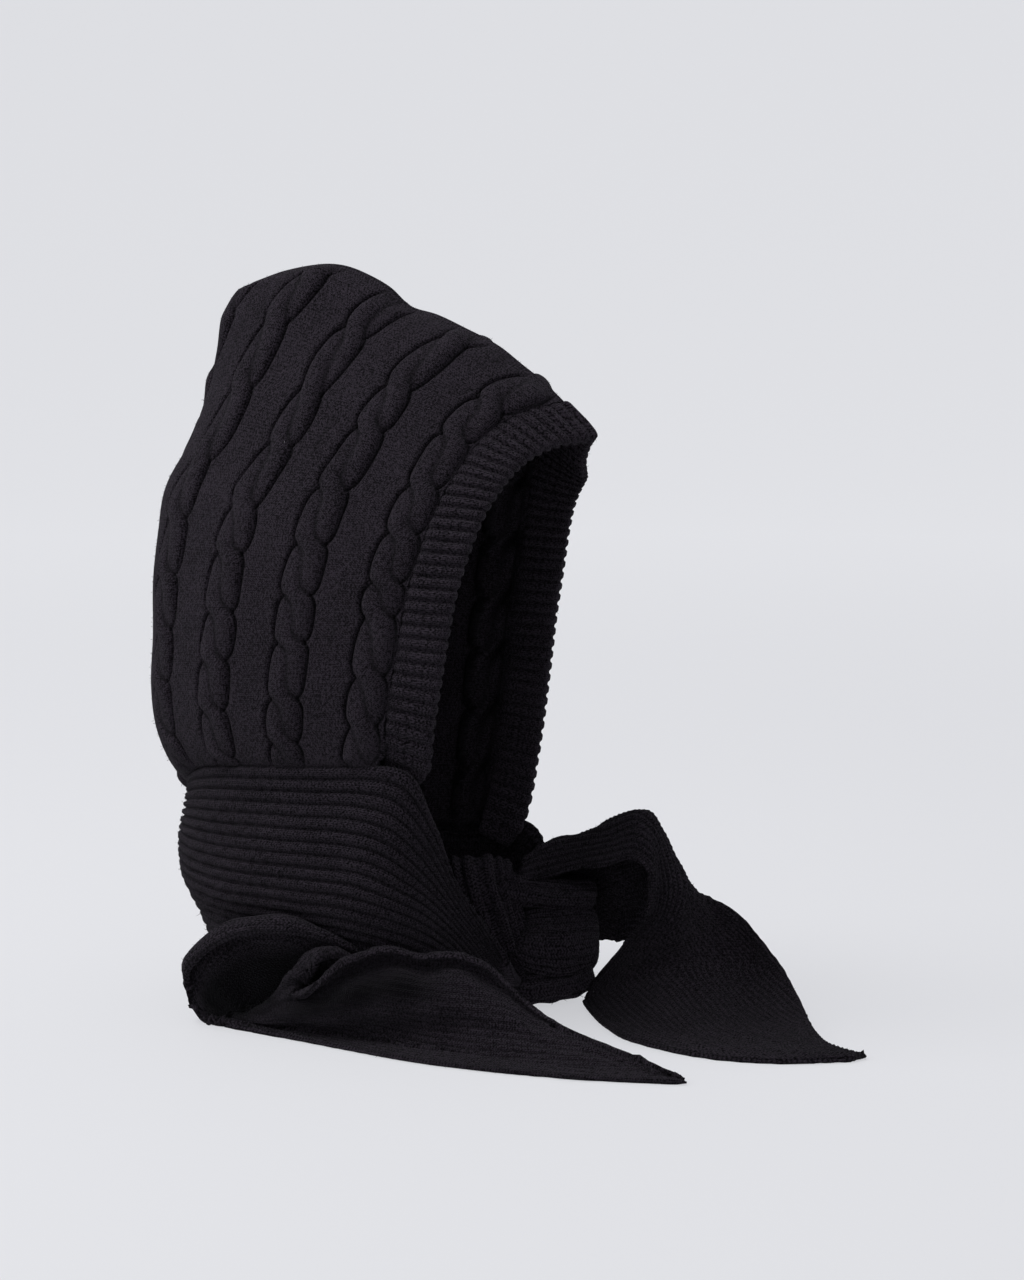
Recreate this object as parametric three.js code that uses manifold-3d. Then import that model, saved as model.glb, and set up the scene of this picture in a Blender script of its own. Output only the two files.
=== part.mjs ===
// Snood hood in black cable knit, with a rib scarf sewn round its neck edge and tied in a half knot.
// Millimetres, +Z up. The face looks to -Y and the wearer's left is +X. It rests on the floor, z = 0.
import * as THREE from "three";
import Module from "manifold-3d";

// The three sizes that the tables are shares of, and the knit's own sizes.
const WIDTH = 140;
const DEPTH = 260;
const HEIGHT = 440;
const HOOD_KNIT = 4;
const BAND_KNIT = 4;
const TIE_KNIT = 3.2;
const TRIM_WIDTH = 29;
const TRIM_THICK = 7.5;
const TRIM_RIBS = 80;
const TRIM_SMOOTHING = 8;
const CHIN_DIP = 0.42;
const BRIM_AT = 0.56;
const BRIM_REACH = 0.055;
const BRIM_EXTRA = 8;
const BRIM_DIP = 0.25;
const BAND_RIBS = 21;
const RIB_DEPTH = 0.9;
const CABLES = 9;
const CABLE_PITCH = 52;
const CABLE_WIDTH = 25;
const CABLE_RISE = 3.2;
const CABLE_TURNS = 9;
const PANEL_WIDTH = 452;
const BACK_ROUNDING = 2.5;
const SIDE_SWELL = 0.09;
const FAR_DROP = 58;
const DROP_SPREAD = 1.07 * WIDTH;
const LEAN = 0.045;
const LEAN_LEVEL = 0.34 * HEIGHT;
const GAP = 0.3;
const TRIM_SEAM = 3.2 * GAP;
const NECK_SEAM = 4.2 * GAP;
const KNOT_CLEAR = 3 * GAP;
const PAST_EDGE = 0.012;
const KNOT_SQUARENESS = 0.85;
const WRAP_AXIS = [0.42, -0.91, 0];
const KNOT_FOLD_DEPTH = 0.18;
const KNOT_FOLD_ANGLE = 0.7;

const wasm = await Module();
wasm.setup();

// A table of stations (t), hundredths of the width, depth and height (x, y, z) and millimetres (w).
function sized(columns, rows) {
  const unit = { t: 1, x: WIDTH / 100, y: DEPTH / 100, z: HEIGHT / 100, w: 1 };
  return rows.map((row) => row.map((value, c) => value * unit[columns[c]]));
}

// The smooth curve through a table's rows, read at station t.
function along(rows, t) {
  let k = 0;
  while (k < rows.length - 2 && rows[k + 1][0] < t) k++;
  const [a, b] = [rows[k], rows[k + 1]];
  const span = b[0] - a[0];
  const h = (t - a[0]) / span;
  const slope = (i, c) => {
    const before = rows[Math.max(i - 1, 0)];
    const after = rows[Math.min(i + 1, rows.length - 1)];
    return ((after[c] - before[c]) / (after[0] - before[0])) * span;
  };
  return a.map((from, c) => {
    const rise = b[c] - from;
    const [m0, m1] = [slope(k, c), slope(k + 1, c)];
    return from + h * (m0 + h * (3 * rise - 2 * m0 - m1 + h * (m0 + m1 - 2 * rise)));
  });
}

const spread = (n) => Array.from({ length: n + 1 }, (_, i) => i / n);
const smooth = (t) => {
  const k = Math.min(Math.max(t, 0), 1);
  return k * k * (3 - 2 * k);
};
const hump = (t, middle, reach) => Math.exp(-(((t - middle) / reach) ** 2));

function solid(points, triangles) {
  const kept = triangles.filter(([a, b, c]) => a !== b && b !== c && a !== c);
  return new wasm.Manifold(
    new wasm.Mesh({
      numProp: 3,
      vertProperties: new Float32Array(points.flatMap((p) => [p.x, p.y, p.z])),
      triVerts: new Uint32Array(kept.flat()),
    }),
  );
}

// A closed wall of knit either side of at(u, v). A zipped one is sewn to itself along its last v.
function wall(at, us, vs, thick, { relief = () => 0, zipped = false } = {}) {
  const [nu, nv] = [us.length, vs.length];
  const step = 1e-3;
  const normalAt = (u, v) => {
    const row = Math.min(Math.max(v, step), 1 - step);
    const rise = at(u, row + step).sub(at(u, row - step));
    const run = at(Math.min(u + step, us[nu - 1]), v).sub(at(Math.max(u - step, us[0]), v));
    return rise.cross(run).normalize();
  };
  const sewn = (j) => zipped && j === nv - 1;
  const points = [1, -1].flatMap((side) =>
    us.flatMap((u, i) =>
      vs.map((v, j) => {
        const normal = normalAt(u, sewn(j) ? 1 - 4 * step : v);
        if (sewn(j)) normal.add(normalAt(-u, 1 - 4 * step)).normalize();
        const out = side > 0 ? thick / 2 + relief(u, v, j) : -thick / 2;
        const p = at(u, v).addScaledVector(normal, out);
        p.z = Math.max(p.z, 0);
        return p;
      }),
    ),
  );
  const column = (i, j) => (sewn(j) && i > (nu - 1) / 2 ? nu - 1 - i : i);
  const id = (side, i, j) => (side * nu + column(i, j)) * nv + j;
  const triangles = [];
  const quad = (a, b, c, d) => triangles.push([a, b, c], [a, c, d]);
  for (let i = 0; i < nu - 1; i++) {
    for (let j = 0; j < nv - 1; j++) {
      quad(id(0, i, j), id(0, i, j + 1), id(0, i + 1, j + 1), id(0, i + 1, j));
      quad(id(1, i + 1, j), id(1, i + 1, j + 1), id(1, i, j + 1), id(1, i, j));
    }
    quad(id(0, i, 0), id(0, i + 1, 0), id(1, i + 1, 0), id(1, i, 0));
    if (!zipped) {
      quad(id(1, i, nv - 1), id(1, i + 1, nv - 1), id(0, i + 1, nv - 1), id(0, i, nv - 1));
    }
  }
  for (let j = 0; j < nv - 1; j++) {
    quad(id(0, 0, j + 1), id(0, 0, j), id(1, 0, j), id(1, 0, j + 1));
    quad(id(1, nu - 1, j + 1), id(1, nu - 1, j), id(0, nu - 1, j), id(0, nu - 1, j + 1));
  }
  return solid(points, triangles);
}

// A closed body through rings of points, its two ends filled from their middles.
function loft(rings) {
  const n = rings[0].length;
  const points = rings.flat();
  const triangles = [];
  for (let k = 0; k < rings.length - 1; k++) {
    for (let i = 0; i < n; i++) {
      const [a, b] = [k * n + i, k * n + ((i + 1) % n)];
      triangles.push([a, b, b + n], [a, b + n, a + n]);
    }
  }
  for (const k of [0, rings.length - 1]) {
    const hub = points.length;
    points.push(rings[k].reduce((sum, p) => sum.add(p), new THREE.Vector3()).divideScalar(n));
    for (let i = 0; i < n; i++) {
      const [a, b] = [k * n + i, k * n + ((i + 1) % n)];
      triangles.push(k ? [hub, a, b] : [hub, b, a]);
    }
  }
  return solid(points, triangles);
}

// The hood, one knit panel folded round the back of the head and sewn along the top.
// Levels from the neck edge up to the top seam: back y z, front y z, half width.
const LEVELS = sized("tyzyzx", [
  [0, 31.2, 34.1, -28.8, 36.4, 50],
  [0.06, 36.2, 36.6, -30, 39.3, 50.7],
  [0.13, 39.6, 40.5, -31.2, 43.2, 51.4],
  [0.22, 40.8, 45.5, -32.7, 48.4, 52.1],
  [0.32, 40.4, 51.8, -34.2, 54.1, 51.8],
  [0.42, 40.4, 58.6, -35.8, 59.5, 50.7],
  [0.52, 39.2, 65.5, -38.1, 65, 47.9],
  [0.61, 38.1, 71.4, -40.4, 69.8, 43.6],
  [0.7, 32.7, 77, -43.1, 74.1, 37.1],
  [0.78, 29.2, 82.7, -45.8, 77.5, 30.7],
  [0.86, 26.5, 88.6, -49.2, 80.2, 22.9],
  [0.93, 24.2, 93.6, -53.8, 82, 14.3],
  [0.97, 21.9, 96.4, -56.5, 82.5, 7.9],
  [1, 19.2, 98, -59.2, 83, 0],
]);
// The top seam from the peak at the back to the forehead, with its saddle: y z.
const TOP_SEAM = sized("tyz", [
  [0, 19.2, 98],
  [0.09, 10.8, 99.5],
  [0.2, 1.2, 100.5],
  [0.265, -4.6, 100.2],
  [0.34, -10.4, 99.1],
  [0.41, -15.8, 97.5],
  [0.49, -21.2, 95],
  [0.58, -28.1, 93.9],
  [0.66, -34.6, 92.3],
  [0.77, -43.1, 90],
  [0.86, -49.2, 87.5],
  [0.93, -54.2, 85.5],
  [1, -59.2, 83],
]);

// Across and along for a share of the way from the back fold to the front edge, as one level's arc length.
function bend(share, half, deep) {
  const arc = spread(48).map((k) => {
    const a = (k * Math.PI) / 2;
    return [half * Math.sin(a) ** (2 / BACK_ROUNDING), deep * (1 - Math.cos(a) ** (2 / BACK_ROUNDING))];
  });
  const runs = [0];
  for (let i = 1; i < arc.length; i++) {
    runs.push(runs[i - 1] + Math.hypot(arc[i][0] - arc[i - 1][0], arc[i][1] - arc[i - 1][1]));
  }
  const want = share * runs[arc.length - 1];
  let k = 1;
  while (k < arc.length - 1 && runs[k] < want) k++;
  const t = (want - runs[k - 1]) / (runs[k] - runs[k - 1]);
  return [0, 1].map((c) => arc[k - 1][c] + (arc[k][c] - arc[k - 1][c]) * t);
}

// u runs from the right front edge (-1) round the back (0) to the left one (1), v from the neck up.
function hoodAt(u, v) {
  const share = Math.abs(u);
  const [, backY, backZ, frontY, frontZ, half] = along(LEVELS, v);
  const deep = Math.hypot(backY - frontY, backZ - frontZ);
  const [across, run] = bend(share, Math.max(half, 0), deep);
  const [, seamY, seamZ] = along(TOP_SEAM, share);
  const [, peakY, peakZ, browY, browZ] = LEVELS[LEVELS.length - 1];
  const upper = smooth((v - 0.55) / 0.45);
  const y = backY + ((frontY - backY) * run) / deep + upper * (seamY - peakY - (browY - peakY) * share);
  const z = backZ + ((frontZ - backZ) * run) / deep + upper * (seamZ - peakZ - (browZ - peakZ) * share);
  const side = Math.sign(u) * across * (1 + SIDE_SWELL * Math.sin((Math.PI * run) / deep));
  const sag = FAR_DROP * smooth(0.5 + side / DROP_SPREAD) * (1 - v) ** 1.3;
  return new THREE.Vector3(side + LEAN * (z - LEAN_LEVEL), y, z - sag);
}

// The cables, two strands twisted round each other, from the neck edge to the top seam.
const HALF_PANEL = PANEL_WIDTH / 2;
const HALF_CABLE = CABLE_WIDTH / 2 / HALF_PANEL;
const cableMiddles = spread(CABLES - 1).map((_, k) => ((k - (CABLES - 1) / 2) * CABLE_PITCH) / HALF_PANEL);
function cableRelief(u, v) {
  const middle = cableMiddles.reduce((a, b) => (Math.abs(b - u) < Math.abs(a - u) ? b : a));
  const off = (u - middle) / HALF_CABLE;
  const twist = Math.cos(2 * Math.PI * CABLE_TURNS * v) * Math.sign(off);
  const fade = 1 - 0.6 * smooth((v - 0.9) / 0.1);
  return Math.abs(off) > 0.9 ? 0 : fade * CABLE_RISE * (1 + 0.4 * twist);
}
const hoodColumns = [
  -1,
  ...cableMiddles.flatMap((middle) => [-1, -0.5, 0.5, 1].map((off) => middle + off * HALF_CABLE)),
  1,
].filter((u) => Math.abs(u) <= 1);
const hoodRows = spread(4 * CABLE_TURNS);
const hood = wall(hoodAt, hoodColumns, hoodRows, HOOD_KNIT, { relief: cableRelief, zipped: true });

// The face trim, a rib strip folded double, from the right neck corner over the forehead to the left one.
function faceEdge(t) {
  const side = t < 0.5 ? -1 : 1;
  const v = 1 - Math.abs(2 * t - 1);
  const p = hoodAt(side, v);
  const ahead = p.clone().sub(hoodAt(side * 0.985, v)).normalize();
  ahead.z -= CHIN_DIP * (1 - v) ** 4 + BRIM_DIP * hump(t, BRIM_AT, BRIM_REACH);
  const low = Math.max(v - 0.004, 0);
  const up = hoodAt(side, low + 0.004).sub(hoodAt(side, low));
  return { p, ahead, out: up.cross(ahead).multiplyScalar(side).normalize() };
}
const TRIM_SECTION = [[0, 0.9], [0.75, 1], [1, 0], [0.75, -1], [0, -0.9]];
function trimRings() {
  const fine = spread(400).map(faceEdge);
  const runs = [0];
  for (let i = 1; i < fine.length; i++) runs.push(runs[i - 1] + fine[i].p.distanceTo(fine[i - 1].p));
  return spread(2 * TRIM_RIBS).map((share, k) => {
    const i = Math.max(runs.findIndex((run) => run >= share * runs[400] - 1e-6), 0);
    const near = fine.slice(Math.max(i - TRIM_SMOOTHING, 0), i + TRIM_SMOOTHING + 1);
    const mean = (key) => near.reduce((sum, f) => sum.add(f[key]), new THREE.Vector3()).normalize();
    const [ahead, out] = [mean("ahead"), mean("out")];
    const rib = k % 2 ? RIB_DEPTH : -RIB_DEPTH;
    const reach = TRIM_WIDTH + rib / 2 + BRIM_EXTRA * hump(share, BRIM_AT, BRIM_REACH);
    return TRIM_SECTION.map(([w, n]) =>
      fine[i].p
        .clone()
        .addScaledVector(ahead, TRIM_SEAM + w * reach)
        .addScaledVector(out, (n * (TRIM_THICK + rib)) / 2),
    );
  });
}
const faceTrim = loft(trimRings());

// The neck band with its two lappets, from the right one at the knot round the back to the left one.
// Each row: hem x y z, tuck x y z, belly x y z, top edge x y z.
const NECK = sized("txyzxyzxyzxyz", [
  [0, 4.3, -37.7, 0, 11.4, -40.8, 0.7, 17.9, -43.1, 1.4, 25, -44.6, 2.3],
  [0.035, -10, -36.5, 0, -5.7, -40, 1.6, 0, -43.1, 3.9, 8.6, -45.8, 6.6],
  [0.08, -20, -34.6, 0, -22.9, -37.7, 3.9, -18.6, -41.5, 8.6, -11.4, -43.5, 14.3],
  [0.13, -28.6, -31.9, 0, -35, -35.4, 6.1, -35, -39.6, 12.7, -27.1, -40.8, 20.7],
  [0.17, -32.9, -29.2, 0, -41.4, -32.3, 8, -46.4, -36.5, 15.2, -36.4, -40, 26.8],
  [0.205, -35, -26.2, 0, -45, -28.8, 8.9, -53.6, -32.3, 16.6, -43.6, -39.2, 30.5],
  [0.235, -35.7, -23.1, 0, -46.4, -24.6, 9.5, -57.1, -26.9, 17.5, -47.9, -36.5, 33.6],
  [0.27, -35.7, -18.5, 0, -47.1, -19.2, 10, -58.6, -21.5, 18, -50.7, -28.8, 36.1],
  [0.36, -35.7, -5.4, 0, -47.9, -5.4, 10.2, -59.3, -6.2, 18.2, -52.9, -5.8, 36.6],
  [0.43, -32.1, 6.2, 0, -42.9, 7.7, 10.5, -54.3, 10, 18.2, -47.1, 9.2, 36.4],
  [0.5, -20, 14.6, 0, -27.1, 21.5, 10.5, -35.7, 25.4, 18.6, -32.1, 21.9, 35],
  [0.56, 0, 18.5, 0, 0, 27.7, 10, 0, 35, 19.1, 0, 30.8, 31.8],
  [0.62, 21.4, 16.2, 0, 28.6, 23.1, 8.2, 35.7, 26.2, 15, 32.9, 23.8, 29.1],
  [0.7, 37.1, 5.4, 0, 45.7, 7.7, 7.3, 54.3, 10, 13.2, 48.6, 9.2, 26.1],
  [0.78, 40, -9.2, 0, 50, -9.2, 6.8, 59.3, -9.2, 11.8, 52.9, -7.7, 24.5],
  [0.87, 41.4, -25.4, 0, 50.7, -26.2, 6.4, 59.3, -26.9, 10.9, 52.1, -28.5, 23.4],
  [0.93, 41.4, -33.1, 0, 50, -35.8, 6.4, 56.4, -38.8, 11.4, 50.7, -42.3, 22.5],
  [1, 37.1, -33.8, 0.9, 42.9, -36.9, 5.9, 47.9, -39.6, 10.5, 44.3, -45, 19.5],
]);
const SEWN = [0.27, 0.87];
const LEVEL_SHARES = [0, 0.22, 0.48, 1];
function neckAt(u, v) {
  const row = along(NECK, u);
  const points = LEVEL_SHARES.map((at, k) => [at, ...row.slice(3 * k + 1, 3 * k + 4)]);
  const share = (2 * (u - SEWN[0])) / (SEWN[1] - SEWN[0]) - 1;
  if (Math.abs(share) <= 1) {
    const seam = hoodAt(share, 0);
    points[3] = [1, seam.x, seam.y, seam.z - NECK_SEAM - 2 * (1 - Math.abs(share)) ** 2];
  }
  return new THREE.Vector3(...along(points, v).slice(1));
}
const lappetColumns = [0, 0.045, 0.09, 0.14, 0.185, 0.23];
const neckColumns = [...lappetColumns, 0.27, 0.34, 0.4, 0.45, 0.5, 0.545, 0.59, 0.64, 0.7, 0.79, 0.87, 1];
const ribRelief = (u, v, j) => (j % 2 ? RIB_DEPTH : 0);
const neckRows = spread(2 * BAND_RIBS);
const neckWall = (us, vs, thick) => wall(neckAt, us, vs, thick, { relief: ribRelief });
const neckBand = neckWall(neckColumns, neckRows, BAND_KNIT);

// The two tie ends. Each row: selvage x y z, middle x y z, other selvage x y z, valley beside the middle.
const RIGHT_END = sized("txyzxyzxyzw", [
  [0, -51.4, -28.5, 10, -47.1, -29.2, 5.5, -45.7, -32.3, 1.8, 0],
  [0.07, -57.8, -17.3, 13.9, -51.4, -19.2, 5.5, -58.5, -24.6, 10.9, 0],
  [0.14, -61.4, -6.9, 15, -52.1, -10, 3.2, -62.1, -17.7, 11.8, 0],
  [0.21, -61.4, 4.6, 13.2, -53.5, -2.3, 2.3, -64.2, -13.5, 10.2, 0],
  [0.28, -59.3, 14.6, 8.2, -56.4, 3.1, 1.8, -67.1, -11.2, 8.4, 0],
  [0.35, -58.6, 16.5, 3.6, -57.9, 5.4, 1.4, -67.9, -10.8, 6.8, 0],
  [0.42, -60, 11.5, 0, -60.7, 2.3, 1.4, -68.6, -12.7, 6.1, 0],
  [0.49, -67.1, -7.3, 0, -63.6, -10, 1.8, -66.4, -19.2, 7.3, 0],
  [0.56, -72.9, -23.1, 0, -64.3, -23.1, 2.3, -61.4, -26.2, 9.3, 0],
  [0.63, -77.9, -37.3, 0, -63.6, -35.4, 2.7, -55.7, -32.3, 10.2, 0],
  [0.7, -80, -48.1, 0, -62.9, -45, 2.7, -51.4, -40.8, 9.5, 0],
  [0.76, -80, -56.9, 0, -61.4, -52.7, 2.7, -47.9, -48.5, 10.2, 0],
  [0.82, -79.3, -66.2, 0, -60.7, -61.5, 2, -45, -56.9, 7.5, 0],
  [0.88, -77.1, -76.2, 0, -60, -71.5, 1.4, -44.3, -66.2, 4.3, 0],
  [0.93, -73.6, -86.9, 0, -60, -82.7, 0.9, -47.1, -78.5, 2.7, 0],
  [0.97, -68.6, -96.9, 0, -60.7, -94.6, 0.5, -53.6, -92.3, 1.6, 0],
  [1, -63.6, -105.4, 0, -62.1, -104.6, 0, -60.7, -104.2, 0.5, 0],
]);
const LEFT_END = sized("txyzxyzxyzw", [
  [0, 23.6, -43.8, 17, 30, -43.8, 19.5, 35, -45, 18, 0],
  [0.045, 30.7, -49.2, 18, 41.4, -49.2, 22, 52.9, -48.5, 17, 0],
  [0.08, 32.9, -56.5, 19.3, 48.6, -54.6, 22.5, 64.3, -49.2, 8.6, 0],
  [0.16, 30.7, -65, 20.5, 46.4, -62.7, 25, 69.3, -56.9, 7, 0],
  [0.23, 30, -71.9, 21.8, 45.7, -69.6, 26.6, 70.7, -64.6, 7.7, 0],
  [0.3, 30, -75.8, 20, 45.7, -73.8, 25.7, 69.3, -71.2, 9.5, 0],
  [0.37, 32.1, -75.8, 16.1, 47.1, -76.9, 22, 66.4, -76.5, 12.3, 0],
  [0.44, 34.3, -72.7, 12.3, 47.1, -79.2, 17.3, 62.1, -81.5, 15, 2],
  [0.51, 37.9, -66.2, 7.3, 45.7, -80, 11.8, 61.4, -92.3, 11.8, 6],
  [0.58, 41.4, -57.7, 0.7, 42.9, -81.5, 6.4, 59.3, -100.8, 6.8, 8],
  [0.65, 21.4, -63.8, 0, 31.4, -86.9, 2.7, 51.4, -106.9, 3.6, 5],
  [0.72, 2.9, -71.9, 0, 18.6, -93.1, 1.1, 38.6, -111.9, 1.8, 2],
  [0.79, -12.9, -81.5, 0, 5.7, -100.8, 0.5, 27.1, -115.4, 1.1, 0],
  [0.86, -23.6, -99.2, 0, -5.7, -111.5, 0.5, 15.7, -120.8, 0.5, 0],
  [0.93, -19.3, -116.5, 0, -6.4, -122.3, 0.5, 7.1, -126.9, 0.5, 0],
  [1, -2.9, -131.5, 0, 0, -132.3, 0.2, 2.1, -133.1, 0.5, 0],
]);
function tieWall(rows, thick, past = 0) {
  const at = (u, v) => {
    const row = along(rows, v);
    const section = [0, 0.45, 1].map((share, k) => [share, ...row.slice(3 * k + 1, 3 * k + 4)]);
    const next = along(rows, Math.min(v + 0.01, 1));
    const last = along(rows, Math.max(v - 0.01, 0));
    const ahead = new THREE.Vector3(...[4, 5, 6].map((c) => next[c] - last[c]));
    const across = new THREE.Vector3(...[7, 8, 9].map((c) => row[c] - row[c - 6]));
    const valley = ahead.cross(across).normalize().multiplyScalar(row[10] * Math.sin(2 * Math.PI * u));
    const p = new THREE.Vector3(...along(section, u).slice(1)).add(valley);
    p.z = Math.max(p.z, TIE_KNIT / 2);
    return p;
  };
  const reaching = (n) => (past ? [-past, ...spread(n), 1 + past] : spread(n));
  return wall(at, reaching(6), reaching(22), thick);
}
const tieEndRight = tieWall(RIGHT_END, TIE_KNIT);
const tieEndLeft = tieWall(LEFT_END, TIE_KNIT);

// The knot: a bunch lying across the front and the turn of knit that comes over the band into it.
// Each row: middle x y z, half width, half thickness.
const BUNCH = sized("txyzww", [
  [0, 23.6, -41.9, 9.8, 20, 10],
  [0.12, 26.4, -43.5, 9.3, 32, 18],
  [0.35, 34.3, -47.7, 8.9, 38.5, 22],
  [0.65, 42.9, -52.3, 8.9, 38.5, 22],
  [0.88, 49.3, -56.2, 8.9, 33, 18],
  [1, 52.1, -58.1, 8.9, 22, 10],
]);
const WRAP = sized("txyzww", [
  [0, 32.9, -32.3, 10.9, 17, 7],
  [0.25, 29.3, -33.1, 16.8, 20, 8],
  [0.42, 22.9, -34.2, 18.6, 21, 8],
  [0.58, 17.9, -37.3, 15.5, 20, 8],
  [0.8, 20, -41.5, 8.6, 18, 8],
  [1, 27.1, -44.2, 2.7, 14, 7],
]);
function bundle(rows, stations, sides, wide, foldDepth) {
  const rings = spread(stations).map((t) => {
    const [, x, y, z, high, thick] = along(rows, t);
    const next = along(rows, Math.min(t + 0.02, 1));
    const last = along(rows, Math.max(t - 0.02, 0));
    const ahead = new THREE.Vector3(...[1, 2, 3].map((c) => next[c] - last[c])).normalize();
    const side = new THREE.Vector3(...wide).cross(ahead).normalize();
    const up = ahead.cross(side);
    return Array.from({ length: sides }, (_, i) => {
      const a = (i / sides) * 2 * Math.PI;
      const fold = 1 - foldDepth * hump(a, KNOT_FOLD_ANGLE, 0.16);
      const squared = (c) => Math.sign(c) * Math.abs(c) ** KNOT_SQUARENESS;
      const p = new THREE.Vector3(x, y, z)
        .addScaledVector(up, high * fold * squared(Math.sin(a)))
        .addScaledVector(side, thick * fold * squared(Math.cos(a)));
      p.z = Math.max(p.z, 0);
      return p;
    });
  });
  return loft(rings);
}
const bunch = bundle(BUNCH, 9, 20, [0, 0, 1], KNOT_FOLD_DEPTH);
const wrap = bundle(WRAP, 9, 12, WRAP_AXIS, 0);
const cleared = (thick) => thick + 2 * KNOT_CLEAR;
const knotParts = bunch
  .add(wrap)
  .subtract(neckWall([-PAST_EDGE, ...neckColumns], [...neckRows, 1 + PAST_EDGE], cleared(BAND_KNIT)))
  .subtract(tieWall(LEFT_END, cleared(TIE_KNIT), PAST_EDGE))
  .subtract(tieWall(RIGHT_END, cleared(TIE_KNIT)))
  .decompose();
const tieKnot = knotParts.reduce((a, b) => (b.volume() > a.volume() ? b : a));

// All bodies, moved so that the origin is the middle of the underside.
const bodies = {
  hood,
  face_trim: faceTrim,
  neck_band: neckBand,
  tie_knot: tieKnot,
  tie_end_right: tieEndRight,
  tie_end_left: tieEndLeft,
};
const colours = { hood: 0x1b181c, face_trim: 0x201c21, neck_band: 0x1d1a1e };
const boxes = Object.values(bodies).map((body) => body.boundingBox());
const middleOf = (c) =>
  (Math.min(...boxes.map((box) => box.min[c])) + Math.max(...boxes.map((box) => box.max[c]))) / 2;
const origin = [middleOf(0), middleOf(1), Math.min(...boxes.map((box) => box.min[2]))];

const snood = new THREE.Group();
for (const [name, body] of Object.entries(bodies)) {
  const mesh = body.translate(origin.map((c) => -c)).getMesh();
  const geometry = new THREE.BufferGeometry();
  geometry.setAttribute("position", new THREE.BufferAttribute(mesh.vertProperties, 3));
  geometry.setIndex(new THREE.BufferAttribute(mesh.triVerts, 1));
  const colour = colours[name] ?? 0x1a171b;
  const knit = new THREE.Mesh(
    geometry,
    new THREE.MeshStandardMaterial({ color: colour, roughness: 0.95, metalness: 0 }),
  );
  knit.name = name;
  snood.add(knit);
}

export default snood;
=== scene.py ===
import bpy
import numpy as np
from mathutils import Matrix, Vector


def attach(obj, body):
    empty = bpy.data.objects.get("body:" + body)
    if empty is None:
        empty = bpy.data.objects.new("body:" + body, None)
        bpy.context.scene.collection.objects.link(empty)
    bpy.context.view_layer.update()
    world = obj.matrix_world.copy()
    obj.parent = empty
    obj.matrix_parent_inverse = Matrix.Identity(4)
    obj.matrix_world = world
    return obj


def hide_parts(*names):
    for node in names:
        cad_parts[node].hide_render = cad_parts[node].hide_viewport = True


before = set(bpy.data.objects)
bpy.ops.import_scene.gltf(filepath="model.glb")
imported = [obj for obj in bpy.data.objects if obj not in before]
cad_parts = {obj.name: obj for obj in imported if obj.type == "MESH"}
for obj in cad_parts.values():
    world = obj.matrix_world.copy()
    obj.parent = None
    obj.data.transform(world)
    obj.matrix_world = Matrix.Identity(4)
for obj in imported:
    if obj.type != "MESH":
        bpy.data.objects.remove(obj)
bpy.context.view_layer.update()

# Camera: eye a little above the brim, to the wearer's front right, on a long lens with no shift.
# It stands 1.9 m off and looks down by seven and a half degrees.
CAMERA_AT = Vector((-1.6527, -0.7836, 0.468))
CAMERA_LOOKS_AT = Vector((0.0546, 0.0126, 0.220))
CAMERA_LENS = 89.07
bpy.ops.object.select_all(action="DESELECT")
bpy.ops.object.camera_add(location=CAMERA_AT)
camera = bpy.context.object
camera.name = "camera"
camera.rotation_euler = (CAMERA_LOOKS_AT - CAMERA_AT).to_track_quat("-Z", "Y").to_euler()
camera.data.lens = CAMERA_LENS
camera.data.sensor_width = 36
bpy.context.scene.camera = camera


# Studio: a pale grey paper floor that curves up into a low wall all round.
# Soft light comes from the open top, from one large panel overhead and from one on the left.
class Wire:
    """A socket in a material's node tree. Sums and products of wires add Math nodes."""

    def __init__(self, tree, socket=None):
        self.tree = tree
        self.socket = socket

    def add(self, kind, settings=None, sockets=None, out=0):
        node = self.tree.nodes.new(kind)
        for key, value in (settings or {}).items():
            setattr(node, key, value)
        for key, value in (sockets or {}).items():
            if isinstance(value, Wire):
                self.tree.links.new(value.socket, node.inputs[key])
            else:
                node.inputs[key].default_value = value
        return Wire(self.tree, node.outputs[out])

    def math(self, operation, a, b=0.0, c=0.0):
        return self.add("ShaderNodeMath", {"operation": operation}, {0: a, 1: b, 2: c})

    def __add__(self, other):
        return self.math("ADD", self, other)

    def __sub__(self, other):
        return self.math("SUBTRACT", self, other)

    def __rsub__(self, other):
        return self.math("SUBTRACT", other, self)

    def __mul__(self, other):
        return self.math("MULTIPLY", self, other)

    def __abs__(self):
        return self.math("ABSOLUTE", self)

    def part(self):
        return self.math("FRACT", self)

    def between(self, low, high):
        return self.add(
            "ShaderNodeMapRange",
            {"interpolation_type": "SMOOTHSTEP"},
            {"Value": self, "From Min": low, "From Max": high},
        )

    __radd__ = __add__
    __rmul__ = __mul__


def finish_named(name, sockets):
    """A new material with these constants: it, its shader, and a wire to build the rest from."""
    material = bpy.data.materials.new(name)
    material.use_nodes = True
    shader = material.node_tree.nodes["Principled BSDF"]
    for key, value in sockets.items():
        shader.inputs[key].default_value = value
    return material, shader, Wire(material.node_tree)


PAPER = (0.15, 0.1505, 0.154, 1)
PAPER_GLOW = (0.735, 0.742, 0.775, 1)
WALL_GLOW = (0.84, 0.848, 0.882, 1)
GLOW_STRENGTH = 0.705
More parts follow.
